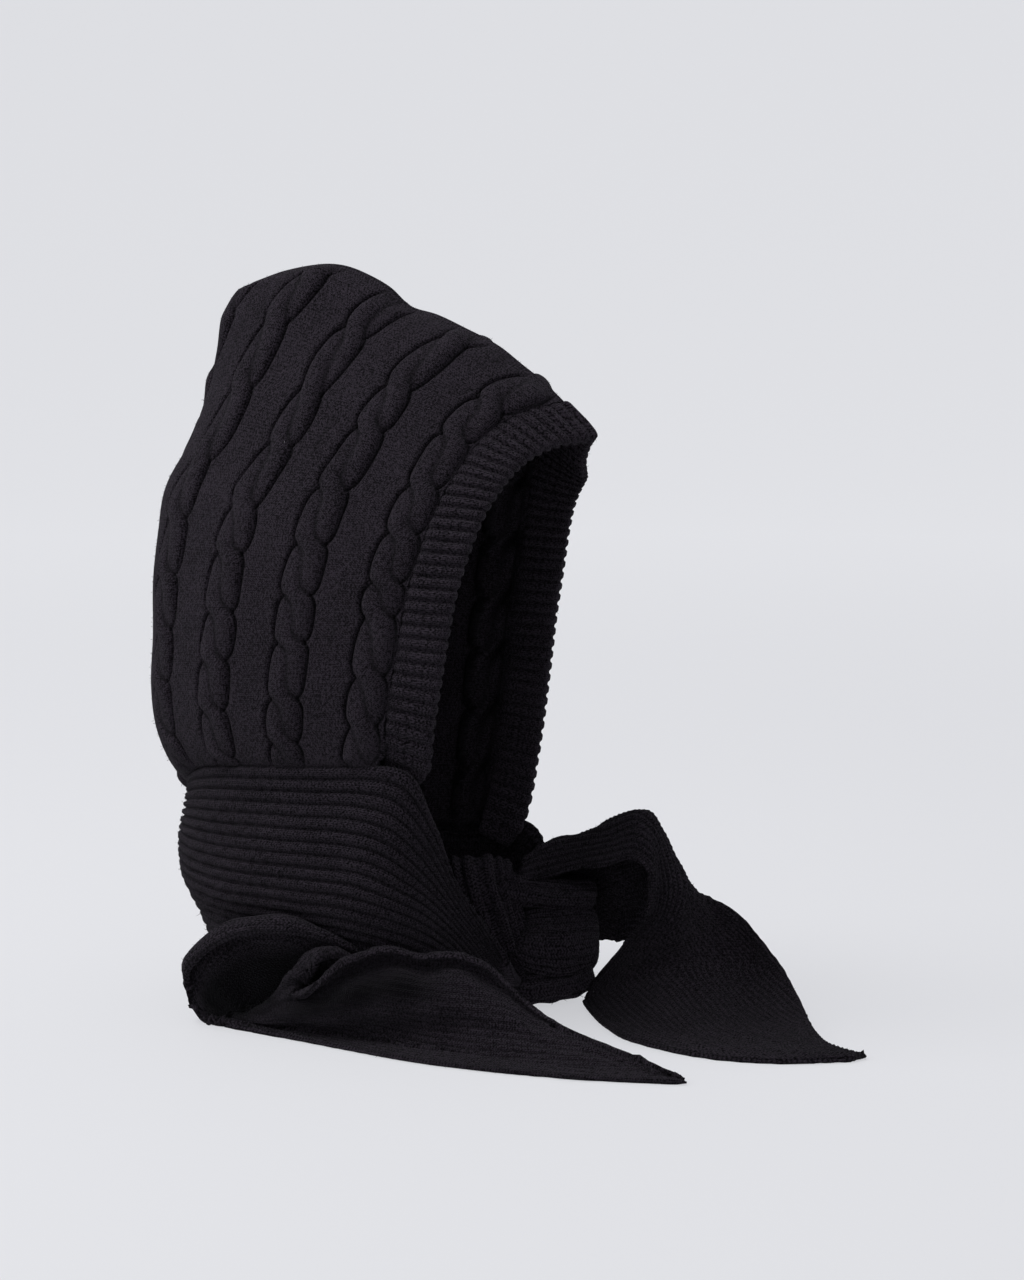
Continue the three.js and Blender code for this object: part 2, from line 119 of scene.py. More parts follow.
# How far from the middle the one glow starts to turn into the other, and where it ends, in metres.
GLOW_TURNS = (0.8, 3.4)
SKY = (0.96, 0.975, 1.0, 1)
SKY_STRENGTH = 0.34
PANELS_LOOK_AT = Vector((0, 0, 0.15))
FLOOR_RADIUS = 3.0
SWEEP_RADIUS = 1.8
WALL_TOP = 2.4
sweep_angles = np.linspace(0, np.pi / 2, 17)
profile = [(0.001, 0)] + [(FLOOR_RADIUS * k / 6, 0) for k in range(1, 7)]
profile += [
    (FLOOR_RADIUS + SWEEP_RADIUS * np.sin(a), SWEEP_RADIUS * (1 - np.cos(a)))
    for a in sweep_angles[1:]
]
profile.append((FLOOR_RADIUS + SWEEP_RADIUS, WALL_TOP))
bpy.ops.object.select_all(action="DESELECT")
bpy.ops.mesh.primitive_circle_add(vertices=128, radius=profile[0][0], fill_type="NGON")
paper = bpy.context.object
paper.name = "paper_sweep"
bpy.ops.object.mode_set(mode="EDIT")
bpy.ops.mesh.select_all(action="SELECT")
for (r0, z0), (r1, z1) in zip(profile, profile[1:]):
    bpy.ops.mesh.extrude_region_move(TRANSFORM_OT_translate={"value": (0, 0, z1 - z0)})
    bpy.ops.transform.resize(value=(r1 / r0, r1 / r0, 1))
bpy.ops.mesh.select_all(action="SELECT")
bpy.ops.mesh.normals_make_consistent(inside=True)
bpy.ops.object.mode_set(mode="OBJECT")
bpy.ops.object.shade_smooth()
paper_material, paper_shader, paper_wire = finish_named(
    "studio_paper", {"Base Color": PAPER, "Roughness": 0.9, "Emission Strength": GLOW_STRENGTH}
)
paper_spot = paper_wire.add("ShaderNodeTexCoord", out="Object")
far_out = paper_wire.add("ShaderNodeVectorMath", {"operation": "LENGTH"}, {0: paper_spot}, "Value")
glow_sockets = {0: far_out.between(*GLOW_TURNS), 6: PAPER_GLOW, 7: WALL_GLOW}
glow = paper_wire.add("ShaderNodeMix", {"data_type": "RGBA"}, glow_sockets, 2)
paper_material.node_tree.links.new(glow.socket, paper_shader.inputs["Emission Color"])
paper.data.materials.append(paper_material)
world = bpy.data.worlds.new("open_top")
world.use_nodes = True
world.node_tree.nodes["Background"].inputs["Color"].default_value = SKY
world.node_tree.nodes["Background"].inputs["Strength"].default_value = SKY_STRENGTH
bpy.context.scene.world = world
bpy.context.scene.view_settings.view_transform = "Standard"
for name, place, size, energy in (
    ("panel_overhead", (-0.5, 0.6, 2.3), 1.3, 46),
    ("panel_left", (-1.2, 2.2, 1.6), 1.2, 30),
):
    bpy.ops.object.light_add(type="AREA", location=place)
    light = bpy.context.object
    light.name = name
    towards = PANELS_LOOK_AT - Vector(place)
    light.rotation_euler = towards.to_track_quat("-Z", "Y").to_euler()
    light.data.size = size
    light.data.energy = energy


# Hood: one cable-knit panel in black brushed yarn, folded round the back of the head.
# Its edges are sewn together along the top, from the peak to the brow.
# Its foot is sewn to the scarf.
MM = 0.001
# From the middle of the neck to the middle of the whole object's underside.
NECK_AT = np.array([5.904, 116.95, 0]) * MM
HOOD_KNIT = 4 * MM
WIDTH = 140
HEIGHT = 440
BACK_ROUNDING = 2.5
SIDE_SWELL = 0.09
FAR_DROP = 58
DROP_SPREAD = 1.07 * WIDTH
LEAN = 0.045
LEAN_LEVEL = 0.34 * HEIGHT
CABLES = 9
CABLE_PITCH = 53.2
CABLE_LOBES = 9
# How far round its turn each cable is ahead of the one beside it, in radians.
CABLE_STAGGER = 0.37 * np.pi
STRAND_SWING = 5.4
SWING_SHARPNESS = 1.6
STRAND_HALF = 7.0
CROSSING_SWELL = 0.16
STRAND_RISE = 3.6
STRAND_LIFT = 1.5
BAND_CROWN = 1.5
BAND_SHOULDER = 3.0
GUTTER_DEPTH = 1.9
GUTTER_AT = 0.3
GUTTER_REACH = 0.9
# The share of the panel's height over which its relief dies away at the top seam and at the foot.
SEAM_FADE = 0.03
HOOD_SWELL = 1.2
# A groove this much lower than what is beside it is fully darkened with painted shade.
HOOD_CREASE = 1.7
HOOD_FOOT = -0.014
FOOT_TUCK = 3.5
HALF_PANEL = 226
PANEL_TALL = 300
WELD = 0.05 * MM
# A UV map holds millimetres divided by this.
UV_SCALE = 100
# From the neck edge up to the top seam: station, back y z, front y z, half width, in millimetres.
LEVELS = np.array([
    [0, 81, 150, -75, 160, 70],
    [0.06, 94, 161, -78, 173, 71],
    [0.13, 103, 178, -81, 190, 72],
    [0.22, 106, 200, -85, 213, 73],
    [0.32, 105, 228, -89, 238, 72.5],
    [0.42, 105, 258, -93, 262, 71],
    [0.52, 102, 288, -99, 286, 67],
    [0.61, 99, 314, -105, 307, 61],
    [0.7, 85, 339, -112, 326, 52],
    [0.78, 76, 364, -119, 341, 43],
    [0.86, 69, 390, -128, 353, 32],
    [0.93, 63, 412, -140, 361, 20],
    [0.97, 57, 424, -147, 363, 11],
    [1, 50, 431, -154, 365, 0],
])
# The top seam from the peak to the forehead, with its saddle: station, y z, in millimetres.
TOP_SEAM = np.array([
    [0, 50, 431],
    [0.09, 28, 438],
    [0.2, 3, 442],
    [0.265, -12, 441],
    [0.34, -27, 436],
    [0.41, -41, 429],
    [0.49, -55, 418],
    [0.58, -73, 413],
    [0.66, -90, 406],
    [0.77, -112, 396],
    [0.86, -128, 385],
    [0.93, -141, 376],
    [1, -154, 365],
])


def through(stations, points, at):
    """The smooth curve through points at their stations, read at each station in at."""
    s, p, t = (np.asarray(x, float) for x in (stations, points, at))
    each = np.arange(len(s))
    before, after = np.maximum(each - 1, 0), np.minimum(each + 1, len(s) - 1)

    def apart(a, b):
        return (s[b] - s[a]).reshape(-1, *[1] * (p.ndim - 1))

    slope = (p[after] - p[before]) / apart(before, after)
    k = np.searchsorted(s[1:-1], t)
    span = apart(k, k + 1)
    h = (t - s[k]).reshape(span.shape) / span
    m0, m1 = slope[k] * span, slope[k + 1] * span
    rise = p[k + 1] - p[k]
    return p[k] + h * (m0 + h * (3 * rise - 2 * m0 - m1 + h * (m0 + m1 - 2 * rise)))


def along(rows, at):
    """A table read at stations, one column of values for each of the table's."""
    return through(rows[:, 0], rows[:, 1:], at)


def smooth(t):
    k = np.clip(t, 0, 1)
    return k * k * (3 - 2 * k)


def hump(t, middle, reach):
    return np.exp(-(((t - middle) / reach) ** 2))


def unit(v):
    return v / np.maximum(np.linalg.norm(v, axis=-1, keepdims=True), 1e-9)


def wander(u, v, seed, waves=7, finest=9):
    """Slow random swells over a panel, between about -1 and 1."""
    rng = np.random.default_rng(seed)
    total = 0
    for _ in range(waves):
        a, b, phase = rng.uniform(1, finest), rng.uniform(1, finest), rng.uniform(0, 2 * np.pi)
        total = total + np.sin(a * u + b * v * rng.choice([-1, 1]) + phase)
    return total / waves**0.5 / 1.5


def hood_at(us, vs):
    """The middle of the hood's knit in mm, for u from the right front edge (-1) to the left (1)."""
    back_y, back_z, front_y, front_z, half = along(LEVELS, vs).T[..., None]
    share = np.abs(us)
    deep = np.hypot(back_y - front_y, back_z - front_z)
    quarter = np.linspace(0, np.pi / 2, 400)
    across, run = np.empty((len(vs), len(us))), np.empty((len(vs), len(us)))
    for j in range(len(vs)):
        x = max(half[j, 0], 0) * np.sin(quarter) ** (2 / BACK_ROUNDING)
        y = deep[j, 0] * (1 - np.cos(quarter) ** (2 / BACK_ROUNDING))
        arc = np.concatenate([[0], np.cumsum(np.hypot(np.diff(x), np.diff(y)))])
        across[j] = np.interp(share * arc[-1], arc, x)
        run[j] = np.interp(share * arc[-1], arc, y)
    seam_y, seam_z = along(TOP_SEAM, share).T
    peak_y, peak_z, brow_y, brow_z = LEVELS[-1, 1:5]
    upper = smooth((vs[:, None] - 0.55) / 0.45)
    y = back_y + (front_y - back_y) * run / deep
    z = back_z + (front_z - back_z) * run / deep
    y += upper * (seam_y - peak_y - (brow_y - peak_y) * share)
    z += upper * (seam_z - peak_z - (brow_z - peak_z) * share)
    side = np.sign(us) * across * (1 + SIDE_SWELL * np.sin(np.pi * run / deep))
    sag = FAR_DROP * smooth(0.5 + side / DROP_SPREAD) * (1 - vs[:, None]) ** 1.3
    return np.stack([side + LEAN * (z - LEAN_LEVEL), y, z - sag], axis=-1)


def outward(points):
    """Unit normals of a grid of points, out of the face where u runs to the left and v up."""
    return unit(np.cross(np.gradient(points, axis=0), np.gradient(points, axis=1)))


def woven(name, points, pattern):
    """A grid through points in mm, with its pattern's place as a UV map.

    Returns it, the row and column of each vertex, and the vertex at each corner of its faces.
    """
    rows, columns = points.shape[:2]
    bpy.ops.object.select_all(action="DESELECT")
    bpy.ops.mesh.primitive_grid_add(x_subdivisions=columns - 1, y_subdivisions=rows - 1, size=2)
    piece = bpy.context.object
    piece.name = piece.data.name = name
    flat = np.empty(len(piece.data.vertices) * 3)
    piece.data.vertices.foreach_get("co", flat)
    flat = flat.reshape(-1, 3)
    i = np.rint((flat[:, 0] + 1) / 2 * (columns - 1)).astype(int)
    j = np.rint((flat[:, 1] + 1) / 2 * (rows - 1)).astype(int)
    piece.data.vertices.foreach_set("co", (points[j, i] * MM + NECK_AT).ravel())
    corners = np.empty(len(piece.data.loops), int)
    piece.data.loops.foreach_get("vertex_index", corners)
    piece.data.uv_layers[0].data.foreach_set("uv", (pattern[j, i] / UV_SCALE)[corners].ravel())
    return piece, j, i, corners


def panel(name, points, pattern, thick, welded=False, slim=None, crushed=None):
    """A sheet of knit whose outer face has these points. crushed puts painted shade in its grooves
    and hollows.
    """
    piece, j, i, corners = woven(name, points, pattern)
    # Painted shade: a second UV map whose X darkens the yarn's colour in grooves and hollows.
    if crushed is not None:
        painted_darkness = piece.data.uv_layers.new(name="crushed", do_init=False)
        painted_darkness.data.foreach_set("uv", np.repeat(crushed[j, i][corners], 2))
    if slim is not None:
        group = piece.vertex_groups.new(name="slim")
        levels = np.round(slim[j, i], 2)
        for level in np.unique(levels):
            group.add(np.flatnonzero(levels == level).tolist(), float(level), "REPLACE")
    bpy.ops.object.mode_set(mode="EDIT")
    bpy.ops.mesh.select_all(action="SELECT")
    bpy.ops.mesh.flip_normals()
    if welded:
        bpy.ops.mesh.remove_doubles(threshold=WELD)
    bpy.ops.object.mode_set(mode="OBJECT")
    bpy.ops.object.modifier_add(type="SOLIDIFY")
    wall = piece.modifiers[0]
    wall.thickness = thick
    wall.offset = -1
    if slim is not None:
        wall.vertex_group = "slim"
    bpy.ops.object.modifier_apply(modifier=wall.name)
    bpy.ops.object.shade_smooth()
    return piece


def creases(relief, depth):
    """How far a relief's narrow grooves lie below what is beside them, as a share of a depth."""
    beside = sum(np.roll(relief, step, axis) for step in (-2, 2) for axis in (0, 1)) / 4
    return np.clip((beside - relief) / depth, 0, 1)


def cable_knit(us, vs):
    """The hood's relief in mm, and where its wales and courses lie, for a grid of u and v."""
    u, v = np.meshgrid(us, vs)
    place = -u * HALF_PANEL
    middle = np.clip(np.rint(place / CABLE_PITCH), -(CABLES // 2), CABLES // 2) * CABLE_PITCH
    off = place - middle
    turn = np.pi * (1 - v) * CABLE_LOBES + CABLE_STAGGER * middle / CABLE_PITCH
    turn += 0.5 * wander(6 * v, middle / CABLE_PITCH, seed=4)
    best, lean = np.full(u.shape, -9.0), np.zeros(u.shape)
    outline = np.zeros(u.shape)
    for strand in (0, 1):
        angle = turn + strand * np.pi
        swing = -np.tanh(SWING_SHARPNESS * np.cos(angle)) / np.tanh(SWING_SHARPNESS)
        at = STRAND_SWING * swing
        half = STRAND_HALF * (1 + CROSSING_SWELL * (1 - swing**2))
        body = np.clip(1 - np.abs((off - at) / half) ** 2.4, 0, 1) ** 0.55
        height = STRAND_RISE * body + STRAND_LIFT * np.sin(angle) * body
        lean = np.where(height > best, at, lean)
        best = np.maximum(best, height)
        outline = np.maximum(outline, np.sign(off) * at + half)
    past = np.abs(off) - outline
    band = BAND_CROWN * (1 - np.clip(1 - past / BAND_SHOULDER, 0, 1) ** 2)
    relief = np.where(past > 0, band, best) - GUTTER_DEPTH * hump(past, GUTTER_AT, GUTTER_REACH)
    near_trim = smooth((1 - np.abs(u)) * HALF_PANEL / 4)
    relief = relief * smooth((1 - v) / SEAM_FADE) * (0.3 + 0.7 * near_trim)
    relief = relief * (0.35 + 0.65 * smooth(v / SEAM_FADE))
    relief -= FOOT_TUCK * (1 - smooth((v - HOOD_FOOT) / 0.02))
    return relief, np.stack([place - lean, v * PANEL_TALL], axis=-1)


HOOD_ROWS = 158
# Columns lie close together over the cables' scalloped edges, and wider apart elsewhere.
over_edge = np.array([1.8, 3.6, 5.4, 7.0, 8.0, 8.9, 9.7, 10.5, 11.3, 12.1, 12.9, 13.7, 14.8, 16.4])
over_cable = np.concatenate([-over_edge, [0], over_edge])
over_band = np.linspace(18.8, CABLE_PITCH - 18.8, 6)
columns = [k * CABLE_PITCH + over_cable for k in range(-(CABLES // 2), CABLES // 2 + 1)]
columns += [k * CABLE_PITCH + over_band for k in range(-(CABLES // 2), CABLES // 2)]
columns = np.sort(np.concatenate(columns + [[-HALF_PANEL, HALF_PANEL]]))
hood_us = columns[np.abs(columns) <= HALF_PANEL] / HALF_PANEL
hood_vs = np.concatenate([[HOOD_FOOT, HOOD_FOOT / 2], np.linspace(0, 1, HOOD_ROWS)])
hood_relief, hood_pattern = cable_knit(hood_us, hood_vs)
hood_points = hood_at(hood_us, hood_vs)
hood_normals = outward(hood_points)
hood_normals[-1] = unit(hood_normals[-2] + hood_normals[-2][::-1])
hood_u, hood_v = np.meshgrid(hood_us, hood_vs)
hood_swell = HOOD_SWELL * wander(2.5 * hood_u, 2.5 * hood_v, seed=3)
hood_relief += hood_swell * np.sin(np.pi * np.maximum(hood_v, 0))
hood_points = hood_points + hood_normals * (HOOD_KNIT / MM / 2 + hood_relief)[..., None]
# Painted shade in the cables' grooves and crossings, from how far each lies below its surroundings.
hood_painted_shade = creases(hood_relief, HOOD_CREASE)
hood = panel("hood_knit", hood_points, hood_pattern, HOOD_KNIT, welded=True, crushed=hood_painted_shade)
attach(hood, "root")
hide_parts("hood")


# Yarn: soft matt black with a faint violet cast, and paler where the brushed nap catches the light.
# Each V-shaped stitch lies along its wale, and a haze of fibres breaks the rows up.
# Grooves and hollows are darkened towards black with painted shade, read from a second UV map.
SHADE_AND_GRAIN_BLACK = (0.0008, 0.0005, 0.001, 1)
HOOD_PALE = (0.0275, 0.0222, 0.0298, 1)
BUMP_DEEP = 1.4 * MM


def yarn(name, wale, course, pale, stitch_depth=0.55):
    """Brushed knit whose wales are this wide and courses this tall, in millimetres."""
    material, shader, wire = finish_named(
        name,
        {
            "Roughness": 0.95,
            "Specular IOR Level": 0.04,
            "Sheen Weight": 0.025,
            "Sheen Roughness": 0.45,
            "Sheen Tint": (0.92, 0.92, 1.0, 1),
        },
    )
    tree = material.node_tree
    spot = wire.add("ShaderNodeTexCoord", out="Object")

    def noise(**sockets):
        return wire.add("ShaderNodeTexNoise", None, {"Vector": spot, **sockets}, "Fac")

    haze = noise(Scale=760.0, Detail=2.0, Roughness=0.8)
    patch = noise(Scale=28.0, Detail=3.0)
    wobble = noise(Scale=160.0, Detail=2.0)
    uv = wire.add("ShaderNodeUVMap", {"uv_map": "UVMap"}, out="UV")
    crushed = wire.add("ShaderNodeUVMap", {"uv_map": "crushed"}, out="UV")
    painted_darkness = wire.add("ShaderNodeSeparateXYZ", None, {0: crushed}, "X")
    across = wire.add("ShaderNodeSeparateXYZ", None, {0: uv}, "X")
    length = wire.add("ShaderNodeSeparateXYZ", None, {0: uv}, "Y")
    leg = abs((across * (UV_SCALE / wale) + wobble * 0.5).part() - 0.5)
    loop = abs((length * (UV_SCALE / course) + leg * 1.3 + wobble * 0.7).part() - 0.5) * 2
    ply = abs(leg - 0.25) * 4
    stitch = (1 - loop * loop) * 0.6 + (1 - ply * ply) * 0.4
    height = stitch * stitch_depth + haze * 1.6 + patch * 0.2
    raised = {"Strength": 1.0, "Distance": BUMP_DEEP, "Height": height}
    bump = wire.add("ShaderNodeBump", None, raised, "Normal")
    # Painted shade: the crushed UV map draws the nap down to black in grooves and hollows.
    nap = (haze * 2.4 + stitch * 0.7 + patch * 0.3).between(1.45, 2.15) * (1 - painted_darkness)
    colour = wire.add("ShaderNodeMix", {"data_type": "RGBA"}, {0: nap, 6: SHADE_AND_GRAIN_BLACK, 7: pale}, 2)
    tree.links.new(colour.socket, shader.inputs["Base Color"])
    tree.links.new(bump.socket, shader.inputs["Normal"])
    return material


HOOD_YARN = yarn("brushed_cable_knit", 1.75, 1.45, HOOD_PALE)
hood.data.materials.append(HOOD_YARN)


# Face trim: a strip of one by one rib, folded double along the face and sewn to the hood.
# Its ribs run across it, and it widens a little where it droops over the forehead.
TRIM_WIDTH = 29
TRIM_THICK = 7.5
TRIM_RIBS = 80
TRIM_SEAM = 0.3
RIB_DEPTH = 1.25
CHIN_DIP = 0.42
BRIM_AT = 0.56
BRIM_REACH = 0.055
BRIM_EXTRA = 8
BRIM_DIP = 0.25
TRIM_SMOOTHING = 17
TRIM_FOOT = 5
TRIM_TUCK = 7
TRIM_END_REACH = 0.03
TRIM_CORNER_REACH = 0.012
TRIM_CORNER_CUT = 0.2
TRIM_STEPS = 880
TRIM_SIDES = 22
FINE_WELD = 0.02 * MM


def face_edge(t):
    """The hood's front edge from the right neck corner, the way ahead and the way out of it."""
    side = np.where(t < 0.5, -1, 1)
    v = 1 - np.abs(2 * t - 1)
    low = np.maximum(v - 0.004, 0)
    lines = hood_at(np.array([-1, -0.985, 0.985, 1]), v)
    below = hood_at(np.array([-1, 1]), low)
    above = hood_at(np.array([-1, 1]), low + 0.004)
    each = np.arange(len(t))
    edge = lines[each, np.where(side < 0, 0, 3)]
    ahead = unit(edge - lines[each, np.where(side < 0, 1, 2)])
    ahead[:, 2] -= CHIN_DIP * (1 - v) ** 4 + BRIM_DIP * hump(t, BRIM_AT, BRIM_REACH)
    up = (above - below)[each, (side + 1) // 2]
    return edge, ahead, unit(np.cross(up, ahead) * side[:, None])


def running_mean(values, reach):
    """Each row averaged with its neighbours on both sides, and made a unit vector."""
    padded = np.pad(values, ((reach // 2, reach // 2), (0, 0)), mode="edge")
    even = np.ones(reach) / reach
    return unit(np.stack([np.convolve(padded[:, c], even, "valid") for c in range(3)], axis=-1))


fine = np.linspace(0, 1, 401)
trim_edge, trim_ahead, trim_out = face_edge(fine)
trim_ahead = running_mean(trim_ahead, TRIM_SMOOTHING)
trim_out = running_mean(trim_out, TRIM_SMOOTHING)
trim_runs = np.concatenate([[0], np.cumsum(np.linalg.norm(np.diff(trim_edge, axis=0), axis=1))])
trim_shares = np.linspace(0, 1, TRIM_STEPS + 1)
trim_at = np.interp(trim_shares * trim_runs[-1], trim_runs, fine)
rail, ahead, out = (
    np.stack([np.interp(trim_at, fine, part[:, c]) for c in range(3)], axis=-1)
    for part in (trim_edge, trim_ahead, trim_out)
)
ahead, out = ahead[:, None], unit(out)[:, None]
rib_off = np.abs(TRIM_RIBS * trim_shares - np.rint(TRIM_RIBS * trim_shares))
rib = (2 * smooth((rib_off - 0.06) / 0.26) - 1)[:, None]
trim_ends, trim_corners = (
    (hump(trim_shares, 0, near) + hump(trim_shares, 1, near))[:, None]
    for near in (TRIM_END_REACH, TRIM_CORNER_REACH)
)
rail = rail - (np.array([0, 0, TRIM_FOOT]) + TRIM_TUCK * out[:, 0]) * trim_ends
around = np.linspace(0, 2 * np.pi, TRIM_SIDES + 1)[None]
brim = hump(trim_shares, BRIM_AT, BRIM_REACH)[:, None]
reach = TRIM_WIDTH * (1 - TRIM_CORNER_CUT * trim_corners) + BRIM_EXTRA * brim + 0.35 * rib
bulge = 0.5 - 0.5 * np.sign(np.cos(around)) * np.abs(np.cos(around)) ** 0.62
face_rise = np.sign(np.sin(around)) * np.abs(np.sin(around)) ** 0.5
pad = (TRIM_THICK / 2 - 0.3) * (1 - 0.55 * trim_ends) + RIB_DEPTH * rib * (1 - 0.7 * trim_ends)
pad = pad + 0.35 * wander(30 * trim_shares[:, None], 2 * bulge, seed=11)
trim_points = rail[:, None] + ahead * (TRIM_SEAM + bulge * reach)[..., None]
trim_points = trim_points + out * (face_rise * pad)[..., None]
trim_along, trim_across = trim_shares[:, None] * trim_runs[-1], around / np.pi * TRIM_WIDTH
trim_pattern = np.stack(np.broadcast_arrays(trim_along, trim_across), axis=-1)


def rolled(name, points, pattern):
    """A closed body through rings of points, its two ends drawn shut."""
    piece = woven(name, points, pattern)[0]
    bpy.ops.object.mode_set(mode="EDIT")
    bpy.ops.mesh.select_all(action="SELECT")
    bpy.ops.mesh.remove_doubles(threshold=FINE_WELD)
    bpy.ops.mesh.select_all(action="DESELECT")
    bpy.ops.mesh.select_mode(type="EDGE")
    bpy.ops.mesh.select_non_manifold(
        extend=False,
        use_wire=False,
        use_multi_face=False,
        use_non_contiguous=False,
        use_verts=False,
    )
    bpy.ops.mesh.edge_face_add()
    bpy.ops.mesh.select_all(action="SELECT")
    bpy.ops.mesh.normals_make_consistent(inside=False)
    bpy.ops.object.mode_set(mode="OBJECT")
    bpy.ops.object.shade_smooth()
    return piece


trim = rolled("face_trim_rib", trim_points, trim_pattern)
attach(trim, "root")
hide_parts("face_trim")
TRIM_YARN = yarn("folded_trim_rib", 2.4, 1.7, HOOD_PALE)
trim.data.materials.append(TRIM_YARN)


# Neck band: the middle of the rib scarf, sewn round the hood's foot, with its hem tucked under.
# Its two lappets cross the throat and go into the knot.
BAND_KNIT = 4
SCARF_PALE = (0.0245, 0.0198, 0.0266, 1)
BAND_RIBS = 21
BAND_TALL = 150
BAND_COLUMNS = 250
BAND_ROWS = 132
BAND_SMOOTHINGS = 60
BAND_RIB_DEPTH = 2.1
BAND_RIB_SUNK = 0.9
BAND_KNOB = 3.1
BAND_SWELL = 0.7
BAND_COLUMN_WIDE = 2.6
BAND_EDGE = 3.2
BAND_EDGE_LEAST = 0.3
BAND_CREASE = 1.2
LEAST_ABOVE_FLOOR = 0.1 * MM
SEWN = (0.27, 0.87)
LEVEL_SHARES = (0, 0.22, 0.48, 1)
NECK_SEAM = 0.3
# The band's top edge stands up round the trim's two feet: where along it, and how far.
CORNERS = ((0.232, 8), (0.908, 5))
CORNER_REACH = 0.03
# Round the neck from the right lappet, in mm: station, hem, tuck, belly and top edge, each x y z.
NECK = np.array([
    [0, 6, -98, 0, 16, -106, 3, 25, -112, 6, 35, -116, 10],
    [0.035, -14, -95, 0, -8, -104, 7, 0, -112, 17, 12, -119, 29],
    [0.08, -28, -90, 0, -32, -98, 17, -26, -108, 38, -16, -113, 63],
    [0.13, -40, -83, 0, -49, -92, 27, -49, -103, 56, -38, -106, 91],
    [0.17, -46, -76, 0, -58, -84, 35, -65, -95, 67, -51, -104, 118],
    [0.205, -49, -68, 0, -63, -75, 39, -75, -84, 73, -61, -102, 134],
    [0.235, -50, -60, 0, -65, -64, 42, -80, -70, 77, -67, -95, 148],
    [0.27, -50, -48, 0, -66, -50, 44, -82, -56, 79, -71, -75, 159],
    [0.36, -50, -14, 0, -67, -14, 45, -83, -16, 80, -74, -15, 161],
    [0.43, -45, 16, 0, -60, 20, 46, -76, 26, 80, -66, 24, 160],
    [0.5, -28, 38, 0, -38, 56, 46, -50, 66, 82, -45, 57, 154],
    [0.56, 0, 48, 0, 0, 72, 44, 0, 91, 84, 0, 80, 140],
    [0.62, 30, 42, 0, 40, 60, 36, 50, 68, 66, 46, 62, 128],
    [0.7, 52, 14, 0, 64, 20, 32, 76, 26, 58, 68, 24, 115],
    [0.78, 56, -24, 0, 70, -24, 30, 83, -24, 52, 74, -20, 108],
    [0.87, 58, -66, 0, 71, -68, 28, 83, -70, 48, 73, -74, 103],
    [0.93, 58, -86, 0, 70, -93, 28, 79, -101, 50, 71, -110, 99],
    [1, 52, -88, 4, 60, -96, 26, 67, -103, 46, 62, -117, 86],
])


def floor_up(piece):
    """Brings up what a swell has pushed below the floor."""
    spots = np.empty(len(piece.data.vertices) * 3)
    piece.data.vertices.foreach_get("co", spots)
    spots[2::3] = np.maximum(spots[2::3], LEAST_ABOVE_FLOOR)
    piece.data.vertices.foreach_set("co", spots)


def thinned(away, reach, least):
    """How thick a sheet is this far from its edges, as a share that rounds off to least at them."""
    k = np.clip(away / reach, 0, 1)
    return least + (1 - least) * np.sqrt(1 - (1 - k) ** 2)


def neck_at(us, vs):
    """The middle of the band's knit in millimetres."""
    levels = along(NECK, us).reshape(len(us), 4, 3).transpose(1, 0, 2).copy()
    share = 2 * (us - SEWN[0]) / (SEWN[1] - SEWN[0]) - 1
    sewn = np.abs(share) <= 1
    seam = hood_at(share[sewn], np.array([0.0]))[0]
    seam[:, 2] -= NECK_SEAM + 2 * (1 - np.abs(share[sewn])) ** 2
    levels[3, sewn] = seam
    return through(LEVEL_SHARES, levels, vs)


def rib_shape(place, gutter=0.34):
    """A rib's height across it, from 0 in the gutter to 1 on top, for a place counted in ribs."""
    off = np.abs(place - np.rint(place))
    return smooth((off - 0.04) / gutter) ** 0.8


band_us, band_vs = np.linspace(0, 1, BAND_COLUMNS + 1), np.linspace(0, 1, BAND_ROWS + 1)
band_u, band_v = np.meshgrid(band_us, band_vs)
band_points = neck_at(band_us, band_vs)
for _ in range(BAND_SMOOTHINGS):
    eased = band_points.copy()
    eased[:, 1:-1] = (band_points[:, :-2] + 2 * band_points[:, 1:-1] + band_points[:, 2:]) / 4
    band_points += (eased - band_points) * (1 - band_v[..., None] ** 14)
for middle, rise in CORNERS:
    band_points[..., 2] += rise * hump(band_u, middle, CORNER_REACH) * band_v**5
band_normals = outward(band_points)
band_steps = np.linalg.norm(np.diff(band_points[BAND_ROWS // 2], axis=0), axis=1)
band_runs = np.cumsum(np.pad(band_steps, (1, 0)))
rib_waver = 0.05 * wander(9 * band_u, 2 * band_v, seed=5)
band_relief = BAND_RIB_DEPTH * rib_shape(band_v * BAND_RIBS + rib_waver, 0.24) - BAND_RIB_SUNK
knobs = np.cos(2 * np.pi * band_runs[None] / BAND_KNOB + 3 * np.floor(band_v * BAND_RIBS + 0.5))
band_relief += (0.4 + 0.25 * wander(22 * band_u, 8 * band_v, seed=7)) * knobs
band_relief += BAND_SWELL * wander(4 * band_u, 3 * band_v, seed=8)
band_i, band_j = np.arange(BAND_COLUMNS + 1)[None], np.arange(BAND_ROWS + 1)[:, None]
band_ends = np.minimum(band_i, BAND_COLUMNS - band_i) * BAND_COLUMN_WIDE
band_away = np.minimum(band_ends, band_j * BAND_TALL / BAND_ROWS)
band_slim = thinned(band_away, BAND_EDGE, BAND_EDGE_LEAST)
band_points = band_points + band_normals * ((BAND_KNIT / 2 + band_relief) * band_slim)[..., None]
band_points[..., 2] = np.maximum(band_points[..., 2], 0)
band_pattern = np.stack(np.broadcast_arrays(band_v * BAND_TALL, band_runs[None]), axis=-1)
